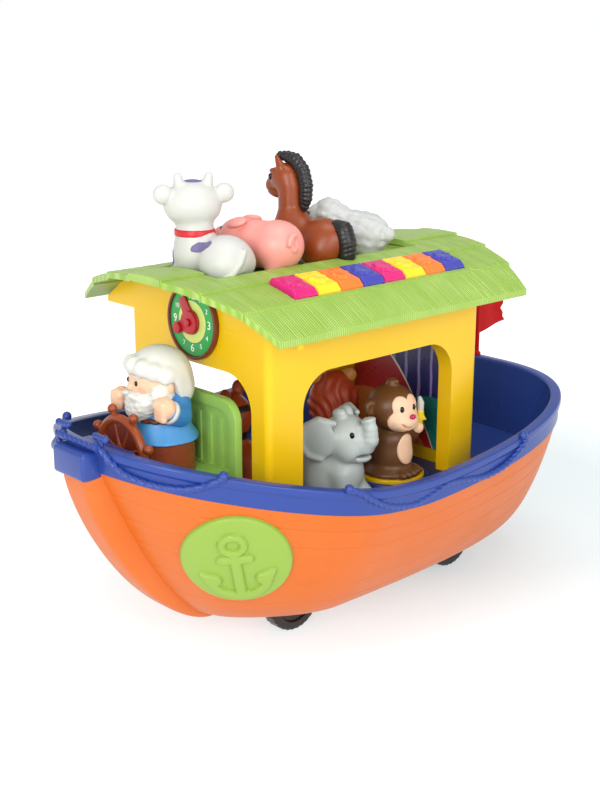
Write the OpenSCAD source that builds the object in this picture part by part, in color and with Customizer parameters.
// Toy ark on wheels: a tub hull with a rail deck, an open cabin under a shingled roof with play keys,
// a clock, a helm with its captain and eight animal figures. X runs to the bow, Y to port, Z up.

/* [Hull] */
// Half width of the rail at its widest
half_beam = 126; // [116:1:136]
// Rail station of the stern
stern_x = -203; // [-213:1:-196]
// Station of the widest rail
wide_x = 49; // [40:1:58]
// Station where the rail closes at the bow
tip_x = 195; // [190:1:200]
// Rail height at its lowest point
rail_z = 118; // [114:1:122]
// Rise of the rail towards the bow
bow_rise = 43; // [34:1:50]
// Rise of the rail towards the stern
stern_rise = 20; // [14:1:26]
// Height of the flat hull bottom over the floor
keel_z = 16; // [15:0.5:18]
// Wall thickness of hull and deck mouldings
wall = 2.5; // [2:0.1:3]
// Half width of the stem band
stem_half = 14; // [10:1:16]
// How far the stem band stands proud of the hull
stem_proud = 8; // [5:0.5:8.5]

/* [Deck] */
// Depth of the rail skirt
skirt_h = 16.5; // [14:0.5:20]
// Width of the rail's top lip
lip_w = 8; // [6:0.5:10]
// Height of the main deck
deck_z = 83; // [78:1:88]
// Height of the fore deck
fore_z = 106; // [102:1:108]
// Front face of the bow block
block_x = 203.5; // [202:0.5:208]
// Half width of the bow block
block_half = 16.5; // [14:0.5:20]
// Height of the bow block
block_h = 18; // [14:1:22]

/* [Cabin] */
// Front face of the cabin
cabin_front = 103; // [98:0.5:104]
// Rear face of the cabin
cabin_rear = -95.5; // [-105:0.5:-90]
// Half width of the cabin walls
cabin_half = 70; // [66:1:74]
// Thickness of the cabin walls
cabin_wall = 4; // [3:0.5:5]
// Height of the ceiling's underside
ceiling_z = 213; // [206:1:218]
// Half width of the doorway in the front wall
door_half = 54; // [50:0.5:57]
// Top of the doorway in the front wall
door_top = 187; // [182:1:188]
// Front edge of the side arches
arch_front = 74; // [66:1:80]
// Rear edge of the side arches
arch_rear = -68; // [-72:0.5:-60]
// Top of the side arches
arch_top = 187; // [182:0.5:192]
// Corner radius of the arches
arch_r = 24; // [18:1:28]
// Depth of the return round the side arches
jamb_d = 12; // [8:0.5:15]

/* [Roof] */
// Half width at the eaves
eave_half = 99.3; // [95:0.1:103]
// Half length at the eaves
eave_len = 115; // [112:1:119]
// Half length at the ridge
ridge_len = 137.5; // [132:0.5:142]
// Middle of the roof along the ark
roof_x = 5; // [2:0.5:8]
// Rise of the roof from eave to ridge
roof_rise = 27.3; // [24:0.1:30]
// Thickness of the roof shell
roof_t = 4.5; // [4:0.1:5.5]
// Step between shingle rows
row_step = 1.2; // [0.6:0.1:1.6]
// Front end of the open well
well_front = 118; // [114:1:120]
// Rear end of the open well
well_rear = -75; // [-82:1:-70]
// Half width of the well
well_half = 28; // [26:0.5:30]

/* [Keys] */
// Number of keys in the row
key_count = 8; // [8]
// Spacing of the keys
key_pitch = 19.75; // [19:0.05:20.2]
// Gap between neighbouring keys
key_gap = 0.7; // [0.5:0.1:1.2]
// Length of a key down the slope
key_l = 24.5; // [22:0.5:25]
// How far a key stands out of the roof
key_proud = 4.5; // [3.5:0.1:5.5]
// Travel of a key
key_travel = 2; // [1.5:0.1:2.4]

/* [Running gear] */
// Wheel radius
wheel_r = 22; // [20:0.5:23]
// Wheel width
wheel_w = 12; // [10:0.5:13]
// Distance between the outer wheel faces
track = 93; // [90:1:95]
// Front axle station
front_axle_x = 58; // [54:1:62]
// Rear axle station
rear_axle_x = -102; // [-108:1:-96]
// Axle radius
axle_r = 2; // [1.8:0.1:2.5]

/* [Helm and clock] */
// Station of the helm's middle plane
helm_x = 163; // [161:0.5:165]
// Height of the helm's hub
helm_z = 139; // [137:0.5:141]
// Radius to the helm's knobs
helm_r = 25; // [22:0.5:25.5]
// Knobs on the helm
helm_knobs = 9; // [6:1:12]
// Clock radius
clock_r = 24.5; // [22:0.5:25]
// Height of the clock's centre
clock_z = 214.5; // [213:0.5:216]

/* [Hidden] */
$fn = 48;
// Running clearance of pins in bores, air between neighbours on different bodies, seat of glued pieces
run = 0.06;
air = 0.4;
seat = 0.05;
// The tail of the flag reaches past the stern: the whole ark is moved so that its box is centred
flag_l = 34;
flag_x = stern_x + lip_w / 2;
ox = -(block_x + flag_x - flag_l) / 2;

// Shape exponents of the rail's plan and sheer, and the point its bow curve would run to
stern_full = 3.6;
stern_round = 2.8;
bow_full = 1.8;
bow_fine = 1.1;
nose_half = 25;
nose_x = tip_x + 21.5;
turn_x = tip_x - 44;
low_x = 11;
step_x = cabin_front + 1.5;
step_lap = 0.4;

function pw(b, e) = b <= 0 ? 0 : pow(b, e);
// Half width of the rail at a station
function plan_half(x) = x < wide_x
    ? half_beam * pw(1 - pw((wide_x - x) / (wide_x - stern_x), stern_full), 1 / stern_round)
    : (nose_half + (half_beam - nose_half) * pw(1 - pw((x - wide_x) / (nose_x - wide_x), bow_full), bow_fine))
        * sqrt(max(0, 1 - pw((x - turn_x) / (tip_x - turn_x), 4)));
// Height of the rail's top at a station
function sheer(x) = x > low_x
    ? rail_z + bow_rise * pw((x - low_x) / (nose_x - low_x), 1.6)
    : rail_z + stern_rise * pw((low_x - x) / (low_x - stern_x), 1.5);

// Stations along the ark, close together where the plan turns and at the step of the deck
n_stern = 16;
n_mid = 4;
n_bow = 11;
stations = concat(
    [for (i = [0:n_stern]) wide_x - (wide_x - stern_x) * pw(cos(90 * i / n_stern), 2 / stern_full)],
    [for (i = [1:n_mid]) wide_x + (step_x - step_lap - wide_x) * i / n_mid],
    [for (i = [0:n_bow]) step_x + step_lap + (tip_x - step_x - step_lap) * sin(90 * i / n_bow)]);
last = len(stations) - 1;
ring_n = 2 * last;
outline = [for (i = [0:last]) [stations[i], i == 0 || i == last ? 0 : plan_half(stations[i])]];
normals = [for (i = [0:last])
    i == 0 ? [-1, 0] : i == last ? [1, 0]
    : let (d = outline[i + 1] - outline[i - 1]) [-d.y, d.x] / norm(d)];
sheers = [for (x = stations) sheer(x)];
floors = [for (x = stations) x < step_x ? deck_z : fore_z];

// Closed ring of points a distance in from the outline, with a height for each station
function inset(i, d) = outline[i] - d * normals[i];
function ring(d, z) = concat(
    [for (i = [0:last]) [inset(i, d).x, inset(i, d).y, z[i]]],
    [for (i = [last - 1:-1:1]) [inset(i, d).x, -inset(i, d).y, z[i]]]);
function shift(z, by) = [for (v = z) v + by];

// Faces that close the first or last ring straight across from port to starboard
function across(o) = concat(
    [[o, o + 1, o + ring_n - 1], [o + last - 1, o + last, o + last + 1]],
    [for (j = [1:last - 2]) [o + j, o + j + 1, o + ring_n - j - 1]],
    [for (j = [1:last - 2]) [o + j, o + ring_n - j - 1, o + ring_n - j]]);
function turned(f) = [for (t = f) [t[2], t[1], t[0]]];
function band(a, b) = [for (j = [0:ring_n - 1]) let (k = (j + 1) % ring_n)
    each [[a + j, b + j, b + k], [a + j, b + k, a + k]]];

// Closed skin over a stack of rings that runs from the inside floor over the rim to the outside bottom
module ring_loft(rings) {
    n = len(rings);
    polyhedron(
        points = [for (r = rings) each r],
        faces = concat(
            across(0),
            [for (k = [0:n - 2]) each band(k * ring_n, (k + 1) * ring_n)],
            turned(across((n - 1) * ring_n))));
}

// Hull waterlines: each is the top line drawn in towards the keel, s = 0 at the rim and 1 at the bottom
hull_in = 2.5;
bottom_share = 0.29;
stern_share = 0.93;
bow_share = 0.39;
function drawn(s, least, e) = least + (1 - least) * pw(1 - s, e);
function along(x, s) = wide_x + (x - wide_x)
    * (x < wide_x ? drawn(pw(s, 1.24), stern_share, 0.54) : drawn(s, bow_share, 0.59));
function waterline(s, d, bottom) = let (top = ring(hull_in + d, shift(sheers, -skirt_h - seat)))
    [for (p = top) [along(p.x, s), p.y * drawn(s, bottom_share, 0.336), p.z + (bottom - p.z) * s]];
levels = 9;
function level(k) = 1 - pow(1 - k / levels, 2.2);

module hull_shell() {
    ring_loft(concat(
        [for (k = [levels:-1:0]) waterline(level(k), wall, keel_z + wall)],
        [for (k = [0:levels]) waterline(level(k), 0, keel_z)]));
}

// Stem band: the hull's profile on the centre line, grown outwards
stem_n = 14;
rim_bow = sheer(tip_x) - skirt_h;
function profile(s) = [along(tip_x - hull_in, s), rim_bow + (keel_z - rim_bow) * s];
function stem_normal(s) = let (d = profile(min(1, s + 0.01)) - profile(max(0, s - 0.01))) [-d.y, d.x] / norm(d);
stem_tail = 22;
module stem() {
    outer = [for (i = [0:stem_n]) let (s = level(levels * i / stem_n)) profile(s) + stem_proud * stem_normal(s)];
    inner = [for (i = [stem_n:-1:0]) let (s = level(levels * i / stem_n)) profile(s) - 0.6 * wall * stem_normal(s)];
    rotate([90, 0, 0])
        linear_extrude(2 * stem_half, center = true)
            polygon(concat(outer, [[profile(1).x - stem_tail, keel_z]], [profile(1) + [-stem_tail, wall / 2]], inner));
}

// Openings in the hull bottom for wheels, battery door and sound
well_gap = 1.6;
wheel_y = track / 2 - wheel_w / 2;
bay_x = -22;
bay_l = 70;
bay_w = 58;
speaker_x = -150;
speaker_r = 16;
grille_r = 1.8;
module wheel_slots() {
    for (x = [front_axle_x, rear_axle_x], s = [-1, 1])
        translate([x, s * wheel_y, keel_z])
            cube([2 * (wheel_r + well_gap), wheel_w + 2 * well_gap, 6 * wall], center = true);
}
module sound_grille() {
    for (i = [0:6])
        rotate([0, 0, 60 * i])
            translate([i == 6 ? 0 : speaker_r / 2, 0, -wall])
                cylinder(r = grille_r, h = 3 * wall);
}
module hull() {
    color("darkorange")
        difference() {
            union() {
                hull_shell();
                stem();
            }
            wheel_slots();
            translate([bay_x, 0, keel_z])
                cube([bay_l, bay_w, 6 * wall], center = true);
            translate([speaker_x, 0, keel_z])
                sound_grille();
            bow_block(seat);
        }
}

// Block on the bow, also cut out of the hull with a little room round it
block_top = sheer(tip_x) - 3;
block_l = 15;
block_r = 4;
module rounded(x0, x1, y0, y1, r) {
    translate([x0 + r, y0])
        square([x1 - x0 - 2 * r, y1 - y0]);
    translate([x0, y0 + r])
        square([x1 - x0, y1 - y0 - 2 * r]);
    for (x = [x0 + r, x1 - r], y = [y0 + r, y1 - r])
        translate([x, y])
            circle(r);
}
module bow_block(room) {
    translate([0, 0, block_top - block_h - room])
        linear_extrude(block_h + 2 * room)
            rounded(block_x - block_l - room, block_x + room, -block_half - room, block_half + room, block_r);
}

// Deck tub: the hull's waterlines further in, down to the main deck
tub_in = hull_in + wall + 1;
lip_r = 1.4;
lip_h = 5;
skirt_in = 1.5;
rim_under = 4;
function depth_share(i, z) = (sheers[i] - skirt_h - z) / (sheers[i] - skirt_h - keel_z);
function tub_ring(d, z) = let (top = ring(d, sheers)) [for (j = [0:ring_n - 1])
    let (i = j <= last ? j : ring_n - j, s = depth_share(i, z))
    [along(top[j].x, s), top[j].y * drawn(s, bottom_share, 0.336), z]];
module deck_shell() {
    ring_loft([
        tub_ring(tub_in + wall, deck_z),
        ring(lip_w, shift(sheers, -lip_r)),
        ring(lip_w - lip_r, sheers),
        ring(lip_r, sheers),
        ring(0, shift(sheers, -lip_r)),
        ring(0, shift(sheers, -lip_h)),
        ring(skirt_in, shift(sheers, -lip_h - lip_r)),
        ring(skirt_in, shift(sheers, -skirt_h)),
        ring(skirt_in + wall, shift(sheers, -skirt_h)),
        ring(skirt_in + wall, shift(sheers, -rim_under)),
        ring(lip_w - wall, shift(sheers, -rim_under)),
        tub_ring(tub_in, deck_z - wall)]);
}
module tub_space() {
    ring_loft([
        ring(lip_w - wall / 2, shift(sheers, lip_h)),
        tub_ring(tub_in + wall / 2, deck_z - wall / 2)]);
}

// Fore deck, its step and the console that carries the helm
console_x = helm_x + 7;
console_l = 18;
console_half = 24;
console_top = helm_z + 9;
module fore_deck() {
    intersection() {
        tub_space();
        union() {
            translate([step_x, -half_beam, fore_z - wall])
                cube([tip_x - step_x, 2 * half_beam, wall]);
            translate([step_x, -half_beam, deck_z - wall])
                cube([wall, 2 * half_beam, fore_z - deck_z]);
            translate([console_x, -console_half, fore_z - wall])
                cube([console_l, 2 * console_half, console_top - fore_z + wall]);
        }
    }
}

// Floor button with a collar on the deck and a stem through it
button_at = [-42, 38];
button_r = 24;
button_travel = 2;
button_h = 4;
collar_t = 2.5;
stem_r = 8;
helm_pin_r = 2;
helm_pin_in = 9;
module deck() {
    color("royalblue")
        difference() {
            union() {
                deck_shell();
                fore_deck();
                bow_block(0);
                translate([button_at.x, button_at.y, deck_z - wall / 2])
                    cylinder(r = button_r + air + collar_t, h = button_travel + button_h / 2 + wall / 2);
            }
            translate([button_at.x, button_at.y, deck_z])
                cylinder(r = button_r + air, h = button_h + button_travel);
            translate([button_at.x, button_at.y, deck_z - 2 * wall])
                cylinder(r = stem_r + run, h = 3 * wall);
            translate([console_x - 1, 0, helm_z])
                rotate([0, 90, 0])
                    cylinder(r = helm_pin_r + seat, h = helm_pin_in + 1);
        }
}
module floor_button() {
    color("gold")
        translate([button_at.x, button_at.y, deck_z]) {
            translate([0, 0, button_travel + air])
                cylinder(r = button_r, h = button_h);
            translate([0, 0, -wall - air - 2])
                cylinder(r = stem_r, h = wall + air + button_travel + 3);
            translate([0, 0, -wall - air - 2])
                cylinder(r = stem_r + 2, h = 2);
        }
}

// Oval badge laid on the hull's bow cheek, with an anchor in relief
badge_at = [132, 72, 80];
badge_turn = 48;
badge_lean = 25;
badge_a = 35;
badge_b = 38;
badge_t = 3;
anchor_t = 1.8;
module hull_body(grow) {
    ring_loft([for (k = [0:levels]) waterline(level(k), -grow, keel_z - grow)]);
}
module oval(a, b) {
    scale([a / b, 1])
        circle(b);
}
module anchor() {
    translate([0, 17])
        difference() {
            circle(7);
            circle(3.6);
        }
    translate([-2.6, -26])
        square([5.2, 38]);
    translate([-12, 7])
        square([24, 4.4]);
    intersection() {
        difference() {
            circle(26);
            translate([0, 3])
                circle(23);
        }
        translate([-24, -27])
            square([48, 20]);
    }
    for (s = [-1, 1])
        translate([s * 21, -9])
            rotate(s * 25)
                polygon([[-6, 0], [6, 0], [0, 9]]);
}
// Frame of the badge: its face looks out of the hull, its top is up
module on_cheek() {
    translate(badge_at)
        rotate([0, 0, badge_turn])
            rotate([90 + badge_lean, 0, 90])
                translate([0, 0, -badge_b / 2])
                    children();
}
module raised(grow) {
    intersection() {
        on_cheek()
            linear_extrude(2 * badge_b)
                children();
        hull_body(grow);
    }
}
module anchor_badge(side) {
    color("limegreen")
        mirror([0, side < 0 ? 1 : 0, 0])
            difference() {
                union() {
                    raised(badge_t)
                        oval(badge_a, badge_b);
                    raised(badge_t + anchor_t)
                        anchor();
                }
                hull_body(seat);
            }
}

// Cabin with arched sides, doorway, ceiling and gables
cabin_r = 5;
sill_h = 6;
ceiling_t = 2.5;
soffit_half = eave_half - 2.3;
frame_t = 3;
eave_z = ceiling_z + 8.2;
tray_t = 1.6;
well_z = clock_z + clock_r + air + tray_t;
// Shingle rows: half width, height and half length of the lower edge of each
rows = [for (r = [[1, 0, 0], [0.774, 0.531, 0.38], [0.482, 0.85, 0.76], [0.161, 1, 1]])
    [eave_half * r[0], eave_z + roof_rise * r[1], eave_len + (ridge_len - eave_len) * r[2]]];
module arch(a, b, top, r, bottom) {
    translate([a, bottom])
        square([b - a, top - r - bottom]);
    translate([a + r, bottom])
        square([b - a - 2 * r, top - bottom]);
    for (u = [a + r, b - r])
        translate([u, top - r])
            circle(r);
}
module side_arch(grow, depth) {
    rotate([90, 0, 0])
        linear_extrude(depth, center = true)
            arch(arch_rear - grow, arch_front + grow, arch_top + grow, arch_r + grow, deck_z + sill_h);
}
module gable_shape() {
    under = roof_t + seat;
    half = concat(
        [[soffit_half, ceiling_z + ceiling_t / 2], [soffit_half, rows[0].y - under]],
        [for (k = [1, 2]) [rows[k].x, rows[k].y - under]],
        [[well_half + 2 * tray_t, min(rows[2].y - under, well_z - tray_t - seat)]]);
    polygon(concat(half, [for (k = [len(half) - 1:-1:0]) [-half[k].x, half[k].y]]));
}
clock_pin_r = 1.5;
clock_pin_in = 3.5;
module cabin() {
    color("yellow")
        difference() {
            union() {
                translate([0, 0, deck_z + seat])
                    linear_extrude(ceiling_z - deck_z)
                        difference() {
                            rounded(cabin_rear, cabin_front, -cabin_half, cabin_half, cabin_r);
                            rounded(cabin_rear + cabin_wall, cabin_front - cabin_wall,
                                -cabin_half + cabin_wall, cabin_half - cabin_wall, cabin_r - cabin_wall / 2);
                        }
                for (s = [-1, 1])
                    translate([0, s * (cabin_half - jamb_d / 2 - seat), 0])
                        side_arch(frame_t, jamb_d);
                translate([cabin_rear, -soffit_half, ceiling_z])
                    cube([cabin_front - cabin_rear, 2 * soffit_half, ceiling_t]);
                for (x = [cabin_rear, cabin_front - cabin_wall])
                    translate([x, 0, 0])
                        rotate([90, 0, 90])
                            linear_extrude(cabin_wall)
                                gable_shape();
            }
            side_arch(0, 3 * cabin_half);
            translate([cabin_front, 0, 0])
                rotate([90, 0, 90])
                    linear_extrude(3 * cabin_wall, center = true)
                        arch(-door_half, door_half, door_top, arch_r, deck_z + sill_h);
            translate([cabin_front - clock_pin_in, 0, clock_z])
                rotate([0, 90, 0])
                    cylinder(r = clock_pin_r + seat, h = clock_pin_in + 1);
        }
}
label_w = 96;
label_h = 84;
label_t = 0.6;
module cabin_label() {
    color("navy")
        translate([cabin_rear + cabin_wall + seat, -label_w / 2, deck_z + sill_h + 4])
            cube([label_t, label_w, label_h]);
}

// Roof shell of shingle rows, each upper edge tucked under the next row
tuck = 2;
row_n = len(rows) - 1;
roof_line = concat(
    [for (k = [0:row_n - 1]) each [
        rows[k],
        [rows[k + 1].x, rows[k + 1].y - row_step, rows[k + 1].z - row_step]]],
    [rows[row_n]]);
under_line = concat(
    [for (k = [0:row_n - 1]) let (w = (rows[k + 1].y - rows[k].y) / (rows[k].x - rows[k + 1].x)) each [
        rows[k] - [0, roof_t, 0],
        [rows[k + 1].x + tuck, rows[k + 1].y - w * tuck - roof_t, rows[k + 1].z - row_step]]],
    [rows[row_n] - [0, roof_t, 0]]);
function both_sides(line) = concat(line, [for (k = [len(line) - 1:-1:0]) [-line[k].x, line[k].y, line[k].z]]);
module roof_shell() {
    top = both_sides(roof_line);
    under = both_sides(under_line);
    n = len(top);
    polyhedron(
        points = concat(
            [for (p = top) [roof_x + p.z, p.x, p.y]], [for (p = under) [roof_x + p.z, p.x, p.y]],
            [for (p = top) [roof_x - p.z, p.x, p.y]], [for (p = under) [roof_x - p.z, p.x, p.y]]),
        faces = turned(concat(
            [for (i = [0:n - 2]) each [
                [i, 2 * n + i, 2 * n + i + 1], [i, 2 * n + i + 1, i + 1],
                [n + i, n + i + 1, 3 * n + i + 1], [n + i, 3 * n + i + 1, 3 * n + i],
                [i, i + 1, n + i + 1], [i, n + i + 1, n + i],
                [2 * n + i, 3 * n + i + 1, 2 * n + i + 1], [2 * n + i, 3 * n + i, 3 * n + i + 1]]],
            [[0, n, 3 * n], [0, 3 * n, 2 * n]],
            [[n - 1, 3 * n - 1, 4 * n - 1], [n - 1, 4 * n - 1, 2 * n - 1]])));
}

// Keys lie on the second row of the port side
key_tilt = atan((rows[2].y - row_step - rows[1].y) / (rows[1].x - rows[2].x));
key_y = (rows[1].x + rows[2].x) / 2 - 1.5;
key_z = rows[1].y + (rows[1].x - key_y) * tan(key_tilt);
key_w = key_pitch - key_gap;
keys_x = 4.25;
function key_x(i) = keys_x + (key_count - 1) * key_pitch / 2 - i * key_pitch;
key_colors = ["deeppink", "gold", "darkorange", "slateblue"];
flange_w = 1.2;
flange_t = 1.5;
flange_z = -roof_t - air;
module on_row(x) {
    translate([x, key_y, key_z])
        rotate([-key_tilt, 0, 0])
            children();
}
module key_slot() {
    on_row(keys_x)
        cube([key_count * key_pitch + 2 * air, key_l + 2 * air, 4 * roof_t], center = true);
}
module key(i) {
    nose = key_l / 2;
    color(key_colors[i % len(key_colors)])
        on_row(key_x(i)) {
            rotate([90, 0, 90])
                linear_extrude(key_w, center = true)
                    polygon([[-nose, flange_z], [nose, flange_z], [nose, key_proud / 2], [nose - 3, key_proud],
                        [1 - nose, key_proud], [-nose, key_proud - 1]]);
            translate([0, 0, flange_z - flange_t / 2])
                cube([key_w, key_l + 2 * flange_w, flange_t + 0.2], center = true);
            translate([0, -1, key_proud - 0.5])
                linear_extrude(2)
                    union() {
                        circle(6);
                        for (a = [0:45:315])
                            rotate(a)
                                translate([5.4, 0])
                                    circle(2.2);
                    }
        }
}
board_t = 1.6;
mat_t = 0.6;
mat_z = flange_z - flange_t - 0.2 - key_travel - 1.8;
tray_in = key_l / 2 + flange_w + air;
keys_l = key_count * key_pitch;
module key_mat() {
    color("dimgray")
        on_row(keys_x) {
            translate([0, 0, mat_z - mat_t / 2])
                cube([keys_l, key_l, mat_t], center = true);
            for (i = [0:key_count - 1])
                translate([key_x(i) - keys_x, 0, mat_z - 0.1])
                    cylinder(r1 = 4.5, r2 = 3, h = 1.4);
        }
}
module key_board() {
    color("darkgreen")
        on_row(keys_x)
            translate([0, 0, mat_z - mat_t - seat - board_t / 2])
                cube([keys_l, key_l, board_t], center = true);
}
module key_tray() {
    floor_z = mat_z - mat_t - board_t - 2 * seat;
    color("lightgray")
        on_row(keys_x)
            difference() {
                translate([-keys_l / 2 - 2 * tray_t, -tray_in - tray_t, floor_z - tray_t])
                    cube([keys_l + 4 * tray_t, 2 * (tray_in + tray_t), -roof_t - 0.3 - floor_z + tray_t]);
                translate([-keys_l / 2 - tray_t, -tray_in, floor_z])
                    cube([keys_l + 2 * tray_t, 2 * tray_in, 6 * roof_t]);
            }
}
module roof() {
    wx = well_front - well_rear;
    color("yellowgreen")
        difference() {
            union() {
                roof_shell();
                translate([well_rear - tray_t, -well_half - tray_t, well_z - tray_t])
                    cube([wx + 2 * tray_t, 2 * (well_half + tray_t), rows[2].y - well_z + tray_t]);
            }
            translate([well_rear, -well_half, well_z])
                cube([wx, 2 * well_half, roof_rise]);
            key_slot();
        }
}

// Clock on the front gable: its frame's Z looks forward, X down and Y to port
dial_t = 1;
case_h = 4;
case_rim = 2.2;
case_floor = 1.5;
hand_t = 1.3;
hand_bore = clock_pin_r + run;
long_hand_z = case_floor + dial_t + 2 * seat + air;
short_hand_z = long_hand_z + hand_t + air;
module on_clock() {
    translate([cabin_front + seat, 0, clock_z])
        rotate([0, 90, 0])
            children();
}
module clock_case() {
    color("darkgreen")
        on_clock()
            difference() {
                cylinder(r = clock_r, h = case_h);
                translate([0, 0, case_floor])
                    cylinder(r = clock_r - case_rim, h = case_h);
                translate([0, 0, -1])
                    cylinder(r = clock_pin_r + seat, h = case_h);
            }
}
module clock_dial() {
    color("palegreen")
        on_clock()
            translate([0, 0, case_floor + seat])
                difference() {
                    cylinder(r = clock_r - case_rim - seat, h = dial_t);
                    translate([0, 0, -1])
                        cylinder(r = clock_pin_r + seat, h = dial_t + 2);
                }
}
module clock_pin() {
    head_z = short_hand_z + hand_t + air;
    color("firebrick")
        on_clock() {
            translate([0, 0, -clock_pin_in])
                cylinder(r = clock_pin_r, h = head_z + clock_pin_in + 0.5);
            translate([0, 0, head_z])
                cylinder(r = 2.6, h = 1);
        }
}
// A hand points along the frame's up direction, turned clockwise as the reader sees it
module hand(z, clockwise, hub_r, root_w, tip_w, l, knob_h) {
    color("firebrick")
        on_clock()
            rotate([0, 0, 180 - clockwise])
                translate([0, 0, z])
                    difference() {
                        union() {
                            linear_extrude(hand_t) {
                                circle(hub_r);
                                polygon([[-2, -root_w / 2], [l, -tip_w / 2], [l, tip_w / 2], [-2, root_w / 2]]);
                            }
                            if (knob_h > 0)
                                translate([l - tip_w / 2, 0, 0])
                                    cylinder(r = tip_w / 2, h = hand_t + knob_h);
                        }
                        translate([0, 0, -1])
                            cylinder(r = hand_bore, h = hand_t + 2);
                    }
}
module minute_hand() {
    hand(long_hand_z, -30, 8, 11, 6.5, clock_r - 7, 0);
}
module hour_hand() {
    hand(short_hand_z, -115, 7.5, 9, 7, clock_r - 10, 2);
}

// Helm: the same frame turned round, on a pin in the console
helm_knob_r = 3.6;
helm_rim_r = 3;
helm_phase = 23.5;
module on_helm() {
    translate([helm_x, 0, helm_z])
        rotate([0, 90, 0])
            children();
}
module helm_wheel() {
    color("saddlebrown")
        on_helm()
            difference() {
                union() {
                    rotate_extrude()
                        translate([helm_r - 6.5, 0])
                            circle(helm_rim_r);
                    cylinder(r = helm_r - 7, h = 2, center = true);
                    cylinder(r = 6, h = 8, center = true);
                    for (i = [0:helm_knobs - 1])
                        rotate([0, 0, 90 + helm_phase + 360 * i / helm_knobs]) {
                            rotate([0, 90, 0])
                                cylinder(r = 1.9, h = helm_r);
                            translate([helm_r, 0, 0])
                                sphere(helm_knob_r);
                        }
                }
                cylinder(r = helm_pin_r + run, h = 20, center = true);
            }
}
module helm_pin() {
    color("saddlebrown")
        on_helm() {
            translate([0, 0, -4 - air - 2])
                cylinder(r = 4, h = 2);
            translate([0, 0, -4 - air - 1])
                cylinder(r = helm_pin_r, h = console_x + helm_pin_in - 0.5 - helm_x + 5 + air);
        }
}

// Chair: a ribbed back and the platform that the captain stands on
chair_x = step_x + wall / 2;
chair_t = 5.5;
chair_half = 48;
chair_top = 172;
chair_r = 14;
platform_z = 124;
platform_half = 40;
platform_front = helm_x - 9;
module captain_chair() {
    color("limegreen")
        translate([0, 0, fore_z + seat]) {
            difference() {
                translate([chair_x, 0, 0])
                    rotate([90, 0, 90])
                        linear_extrude(chair_t)
                            arch(-chair_half, chair_half, chair_top - fore_z, chair_r, 0);
                translate([chair_x + chair_t - 2, 0, 0])
                    rotate([90, 0, 90])
                        linear_extrude(chair_t)
                            arch(7 - chair_half, chair_half - 7, chair_top - fore_z - 7, chair_r - 4, 20);
            }
            for (i = [-3:3])
                translate([chair_x + chair_t - 2.5, i * 10.5 - 2, 15])
                    cube([1.6, 4, chair_top - fore_z - 28]);
            translate([chair_x + chair_t - 1, 0, 0])
                linear_extrude(platform_z - fore_z - seat)
                    rounded(0, platform_front - chair_x - chair_t + 1, -platform_half, platform_half, 6);
        }
}

// Pennant on a mast that stands on the stern rim
flag_y = -15;
mast_r = 2;
mast_h = 32;
cloth_h = 20;
cloth_t = 1.8;
flag_z = sheer(stern_x) + seat;
module flag() {
    color("crimson")
        translate([flag_x, flag_y, flag_z]) {
            cylinder(r = 3.4, h = 2);
            cylinder(r = mast_r, h = mast_h);
            translate([0, 0, mast_h])
                sphere(mast_r + 0.6);
            rotate([90, 0, 0])
                linear_extrude(cloth_t, center = true)
                    polygon([[0, mast_h - cloth_h], [-flag_l, mast_h - cloth_h], [10 - flag_l, mast_h - cloth_h / 2],
                        [-flag_l, mast_h], [0, mast_h]]);
        }
}

// Running gear
axle_in = 1;
carrier_half = 30;
module wheel(x, side) {
    color("black")
        translate([x, side * wheel_y, wheel_r])
            rotate([90, 0, 0])
                difference() {
                    rotate_extrude($fn = 64)
                        polygon([[axle_r + seat, -wheel_w / 2], [wheel_r - 2, -wheel_w / 2], [wheel_r, 2 - wheel_w / 2],
                            [wheel_r, wheel_w / 2 - 2], [wheel_r - 2, wheel_w / 2], [axle_r + seat, wheel_w / 2]]);
                    for (s = [-1, 1])
                        translate([0, 0, s * wheel_w / 2])
                            difference() {
                                cylinder(r = wheel_r - 6, h = 4, center = true);
                                cylinder(r = 6, h = 5, center = true);
                            }
                }
}
module axle(x) {
    color("silver")
        translate([x, 0, wheel_r])
            rotate([90, 0, 0])
                cylinder(r = axle_r, h = track - 2 * axle_in, center = true);
}
module axle_carrier(x) {
    floor_z = keel_z + wall + seat;
    color("darkorange")
        difference() {
            union() {
                translate([x - 9, -carrier_half, floor_z])
                    cube([18, 2 * carrier_half, 2]);
                for (y = [-carrier_half, -3, carrier_half - 6])
                    translate([x - 6, y, floor_z])
                        cube([12, 6, wheel_r + axle_r + 4 - floor_z]);
            }
            translate([x, 0, wheel_r])
                rotate([90, 0, 0])
                    cylinder(r = axle_r + run, h = 4 * carrier_half, center = true);
        }
}

// Battery bay over the opening in the hull bottom, with the sound parts
bay_wall = 2;
bay_h = 26;
cell_r = 7;
cell_l = 50;
cell_n = 3;
cell_z = keel_z + wall + air + cell_r;
door_gap = 0.3;
screw_r = 1.5;
screw_head = 2.8;
screw_x = bay_x + bay_l / 2 - 6;
module battery_box() {
    z0 = keel_z + wall + seat;
    color("darkorange")
        translate([0, 0, z0])
            difference() {
                union() {
                    difference() {
                        translate([bay_x, 0, bay_h / 2])
                            cube([bay_l + 2 * bay_wall, bay_w + 2 * bay_wall, bay_h], center = true);
                        translate([bay_x, 0, (bay_h - bay_wall) / 2 - 1])
                            cube([bay_l, bay_w, bay_h - bay_wall + 2], center = true);
                    }
                    translate([screw_x, 0, seat])
                        cylinder(r = 2 * screw_head, h = bay_h - 1);
                }
                translate([screw_x, 0, -1])
                    cylinder(r = screw_r + seat, h = 12);
            }
}
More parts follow.
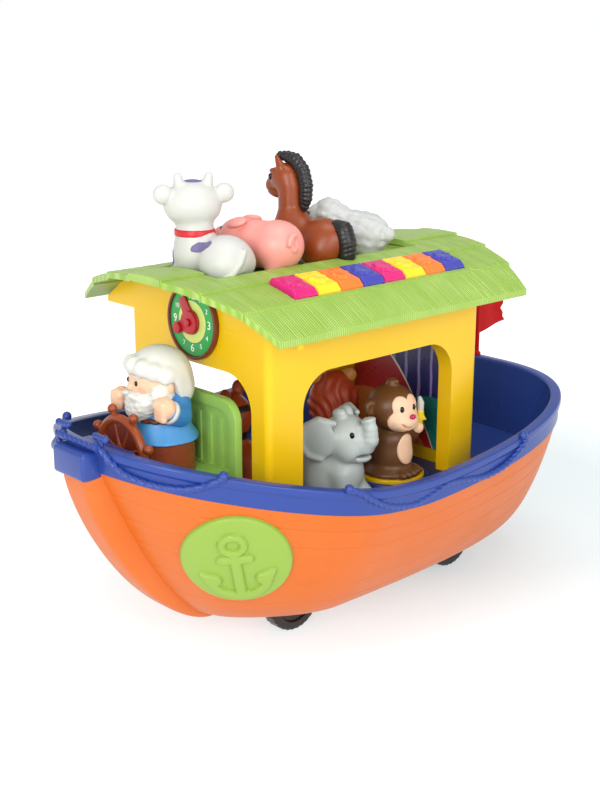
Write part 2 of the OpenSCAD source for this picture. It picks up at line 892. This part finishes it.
module battery_door() {
    color("darkorange")
        difference() {
            translate([bay_x, 0, keel_z + wall / 2])
                cube([bay_l - 2 * door_gap, bay_w - 2 * door_gap, wall], center = true);
            translate([screw_x, 0, keel_z - 1])
                cylinder(r = screw_r + seat, h = 3 * wall);
            translate([screw_x, 0, keel_z - 1])
                cylinder(r = screw_head + seat, h = 1 + wall / 2);
            for (i = [-2:2])
                translate([bay_x - bay_l / 2 + 10 + 3 * i, 0, keel_z])
                    cube([1.2, 24, 1.2], center = true);
        }
}
module door_screw() {
    color("silver")
        translate([screw_x, 0, keel_z])
            difference() {
                union() {
                    cylinder(r = screw_r, h = 11);
                    cylinder(r = screw_head, h = wall / 2 - seat);
                }
                cube([0.7, 4, 1], center = true);
            }
}
module batteries() {
    color("dimgray")
        for (i = [0:cell_n - 1])
            translate([bay_x - 5, (i - 1) * (2 * cell_r + 1.5), cell_z])
                rotate([0, 90, 0]) {
                    cylinder(r = cell_r, h = cell_l, center = true);
                    cylinder(r = 2.6, h = cell_l + 3, center = true);
                }
}
module battery_contacts() {
    h = bay_h - bay_wall - 2 * air;
    color("silver")
        for (s = [-1, 1])
            translate([bay_x - 5 + s * (cell_l / 2 + 2), 0, keel_z + wall + air + h / 2])
                cube([0.6, 46, h], center = true);
}
module sound_board() {
    color("darkgreen")
        translate([bay_x, 0, keel_z + wall + bay_h + 2 * seat]) {
            translate([-24, -18, 0])
                cube([48, 36, board_t]);
            translate([-6, -6, 0])
                cube([12, 12, board_t + 2]);
            for (x = [-18, 14])
                translate([x, 10, 0])
                    cylinder(r = 3, h = board_t + 7);
        }
}
module speaker() {
    color("gray")
        translate([speaker_x, 0, keel_z + wall + seat])
            difference() {
                union() {
                    cylinder(r = speaker_r, h = 5);
                    cylinder(r = speaker_r / 2, h = 12);
                }
                translate([0, 0, -seat])
                    cylinder(r1 = speaker_r - 3, r2 = 4, h = 4);
            }
}

// Figures: each is built at the origin facing forward and then stood on its place
module stand(at, heading, $fn = 24) {
    translate([at.x, at.y, at.z + air])
        rotate([0, 0, heading])
            children();
}
// Balls given as x, y, z and radius, and the same on both sides of the figure
module balls(list) {
    for (b = list)
        translate([b.x, b.y, b.z])
            sphere(b[3]);
}
module pairs(list) {
    for (s = [-1, 1])
        balls([for (b = list) [b.x, s * b.y, b.z, b[3]]]);
}
// Rounded barrel lying along the figure: middle, length and radius
module barrel(at, l, r) {
    steps = 12;
    translate(at)
        rotate([0, 90, 0])
            rotate_extrude()
                polygon([for (i = [0:steps]) let (a = 180 * i / steps) [r * sin(a), -l / 2 * cos(a)]]);
}
// Four short feet: stations of the hind and front pair, half spacing, radius and height
module feet(stations, half, r, h) {
    for (x = stations, s = [-1, 1])
        translate([x, s * half, 0])
            cylinder(r1 = r, r2 = r - 1, h = h);
}
// Short round lug on both sides, such as an ear: place, direction angle, base and tip radius and length
module lugs(at, lean, r1, r2, l) {
    for (s = [-1, 1])
        translate([at.x, s * at.y, at.z])
            rotate([-s * lean, 0, 0])
                cylinder(r1 = r1, r2 = r2, h = l);
}
// Cuts what reaches below the figure's feet
module on_feet(r) {
    intersection() {
        union()
            children();
        translate([0, 0, 2 * r])
            cube(4 * r, center = true);
    }
}

captain_at = [135, 0, platform_z];
module captain() {
    color("deepskyblue")
        stand(captain_at, 0) {
            rotate_extrude()
                polygon([[0, 0], [19, 0], [20, 2], [19, 7], [19.5, 8], [18, 20], [15, 34], [9, 43], [0, 43]]);
            balls([[0, 0, 59.5, 21.5], [9, 0, 44, 13]]);
            pairs([[2, 15, 33, 8], [10, 18, 31, 6.5], [17, 15, 34, 6]]);
        }
}
roof_seat = well_z;
cow_at = [88, 3, roof_seat];
module cow() {
    color("white")
        stand(cow_at, -75)
            on_feet(40) {
                balls([[-8, 0, 17.6, 17], [8, 0, 16, 14], [12, 0, 30, 11], [13, 0, 45, 16.5], [25, 0, 40, 9]]);
                pairs([[-10, 10, 10, 11], [13, 7, 7, 8], [9, 19, 48, 5.5]]);
                lugs([9, 7, 55], 25, 5, 2.5, 13);
            }
}
pig_at = [48, 4, roof_seat];
module pig() {
    color("pink")
        stand(pig_at, -75) {
            barrel([-2, 0, 18], 44, 17);
            balls([[18, 0, 21, 12]]);
            pairs([[15, 8, 32, 4.5]]);
            feet([-13, 9], 8, 6, 10);
            translate([26, 0, 21])
                rotate([0, 90, 0])
                    cylinder(r = 5.5, h = 7);
        }
}
horse_at = [6, 0, roof_seat];
module horse() {
    color("sienna")
        stand(horse_at, -50)
            on_feet(45) {
                balls([[-12, 0, 16, 15.5], [5, 0, 17, 13], [8, 0, 31, 11.5], [11, 0, 44, 10], [14, 0, 56, 11],
                    [25, 0, 50, 7.5]]);
                balls([[6, 0, 67, 6], [0, 0, 59, 6.5], [-1, 0, 48, 7], [-2, 0, 37, 7], [-26, 0, 20, 5.5], [-28, 0, 12, 5]]);
                pairs([[-13, 9, 9, 10], [9, 7, 7, 8]]);
                lugs([12, 5, 64], 12, 3.5, 1.5, 11);
            }
}
sheep_at = [-40, -3, roof_seat];
module sheep() {
    color("ivory")
        stand(sheep_at, -50) {
            barrel([-1, 0, 18], 46, 17);
            balls([[20, 0, 24, 11], [29, 0, 21, 6.5], [-25, 0, 19, 5]]);
            pairs([[-12, 7, 26, 9.5], [4, 6, 28, 9]]);
            feet([-12, 8], 8, 6, 10);
        }
}
elephant_at = [8, 40, deck_z];
module elephant() {
    color("lightslategray")
        stand(elephant_at, 128)
            on_feet(40) {
                balls([[-8, 0, 19, 18], [5, 0, 17, 14], [6, 0, 43, 17], [21, 0, 41, 7], [27, 0, 44, 5], [30, 0, 50, 4.3],
                    [19, 0, 33, 5]]);
                pairs([[-9, 10, 10, 10.5], [9, 8, 8, 8.5], [4, 4, 61, 4.5], [-1, 18, 45, 11]]);
            }
}
monkey_at = [button_at.x + 3, button_at.y + 2, deck_z + button_travel + air + button_h];
module monkey() {
    color("saddlebrown")
        stand(monkey_at, 100)
            on_feet(45) {
                cylinder(r1 = 16, r2 = 13, h = 6);
                balls([[0, 0, 20, 15.5], [0, 0, 31, 13], [1, 0, 53, 16.5], [13, 0, 47, 9], [2, 0, 69, 4]]);
                pairs([[-1, 17, 54, 6], [7, 14, 28, 6], [12, 9, 33, 6]]);
            }
}
lion_at = [-44, -14, deck_z];
module lion() {
    color("peru")
        stand(lion_at, -120)
            on_feet(45) {
                balls([[-9, 0, 18, 17], [5, 0, 16, 14], [9, 0, 44, 13], [3, 0, 44, 19], [21, 0, 40, 8], [2, 0, 62, 8]]);
                pairs([[-10, 9, 9, 10], [9, 7, 7, 8], [6, 14, 60, 5.5]]);
            }
}
tiger_at = [58, -15, deck_z];
module tiger() {
    color("chocolate")
        stand(tiger_at, -60)
            on_feet(45) {
                balls([[-8, 0, 19, 17], [5, 0, 20, 14], [7, 0, 50, 18], [22, 0, 45, 9]]);
                pairs([[-10, 9, 9, 10], [9, 7, 7, 8], [3, 13, 67, 6]]);
            }
}

// The whole ark is moved along so that the middle of its box is at the origin
module centred() {
    translate([ox, 0, 0])
        children();
}
centred() hull();
centred() deck();
centred() anchor_badge(1);  // anchor_badge_left
centred() anchor_badge(-1);  // anchor_badge_right
centred() cabin();
centred() cabin_label();
centred() roof();
for (i = [1:key_count]) centred() key(i - 1);
centred() key_mat();
centred() key_board();
centred() key_tray();
centred() clock_case();
centred() clock_dial();
centred() clock_pin();
centred() minute_hand();
centred() hour_hand();
centred() helm_wheel();
centred() helm_pin();
centred() captain_chair();
centred() floor_button();
centred() flag();
centred() axle(front_axle_x);  // front_axle
centred() axle(rear_axle_x);  // rear_axle
centred() wheel(front_axle_x, 1);  // front_wheel_left
centred() wheel(front_axle_x, -1);  // front_wheel_right
centred() wheel(rear_axle_x, 1);  // rear_wheel_left
centred() wheel(rear_axle_x, -1);  // rear_wheel_right
centred() axle_carrier(front_axle_x);  // front_axle_carrier
centred() axle_carrier(rear_axle_x);  // rear_axle_carrier
centred() battery_box();
centred() battery_door();
centred() batteries();
centred() battery_contacts();
centred() door_screw();
centred() speaker();
centred() sound_board();
centred() captain();
centred() cow();
centred() pig();
centred() horse();
centred() sheep();
centred() elephant();
centred() monkey();
centred() lion();
centred() tiger();
